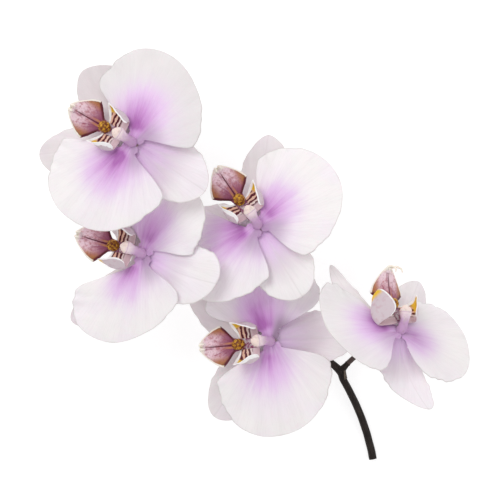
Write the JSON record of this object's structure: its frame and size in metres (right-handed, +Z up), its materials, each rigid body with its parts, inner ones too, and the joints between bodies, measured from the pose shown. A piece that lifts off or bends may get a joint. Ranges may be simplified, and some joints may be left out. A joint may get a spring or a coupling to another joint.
{
  "type": "moth orchid stem",
  "caption": "Cut moth orchid spray lying face up: open white blooms flushed with mauve on an arching dark stem, each with sepals, petals, a lobed lip and a column.",
  "frame": {"origin": "middle of the box on the surface that the spray lies on, z = 0", "axes": "+Z up out of the blooms' faces; the cut end of the stem points to +X and -Y; the tip of the stem points to -X and +Y"},
  "size_m": [0.2172, 0.2082, 0.0612],
  "materials": {
    "petal": "soft satin, white with a mauve flush at the foot",
    "sepal": "soft satin, white to pale cream",
    "lip": "waxy satin, mauve red with olive and yellow marks",
    "column": "waxy satin",
    "stalk": "satin",
    "stem": "satin, dark brown"
  },
  "bodies": {
    "root": {"stem": "stem", "bloom_a_dorsal_sepal": "sepal", "bloom_a_petal_upper": "petal", "bloom_a_petal_lower": "petal", "bloom_a_lateral_sepal_upper": "sepal", "bloom_a_lateral_sepal_lower": "sepal", "bloom_a_lip": "lip", "bloom_a_column": "column", "bloom_a_stalk": "stalk", "bloom_b_dorsal_sepal": "sepal", "bloom_b_petal_upper": "petal", "bloom_b_petal_lower": "petal", "bloom_b_lateral_sepal_upper": "sepal", "bloom_b_lateral_sepal_lower": "sepal", "bloom_b_lip": "lip", "bloom_b_column": "column", "bloom_b_stalk": "stalk", "bloom_c_dorsal_sepal": "sepal", "bloom_c_petal_upper": "petal", "bloom_c_petal_lower": "petal", "bloom_c_lateral_sepal_upper": "sepal", "bloom_c_lateral_sepal_lower": "sepal", "bloom_c_lip": "lip", "bloom_c_column": "column", "bloom_c_stalk": "stalk", "bloom_d_dorsal_sepal": "sepal", "bloom_d_petal_upper": "petal", "bloom_d_petal_lower": "petal", "bloom_d_lateral_sepal_upper": "sepal", "bloom_d_lateral_sepal_lower": "sepal", "bloom_d_lip": "lip", "bloom_d_column": "column", "bloom_d_stalk": "stalk", "bloom_e_dorsal_sepal": "sepal", "bloom_e_petal_upper": "petal", "bloom_e_petal_lower": "petal", "bloom_e_lateral_sepal_upper": "sepal", "bloom_e_lateral_sepal_lower": "sepal", "bloom_e_lip": "lip", "bloom_e_column": "column", "bloom_e_stalk": "stalk"}
  },
  "joints": []
}
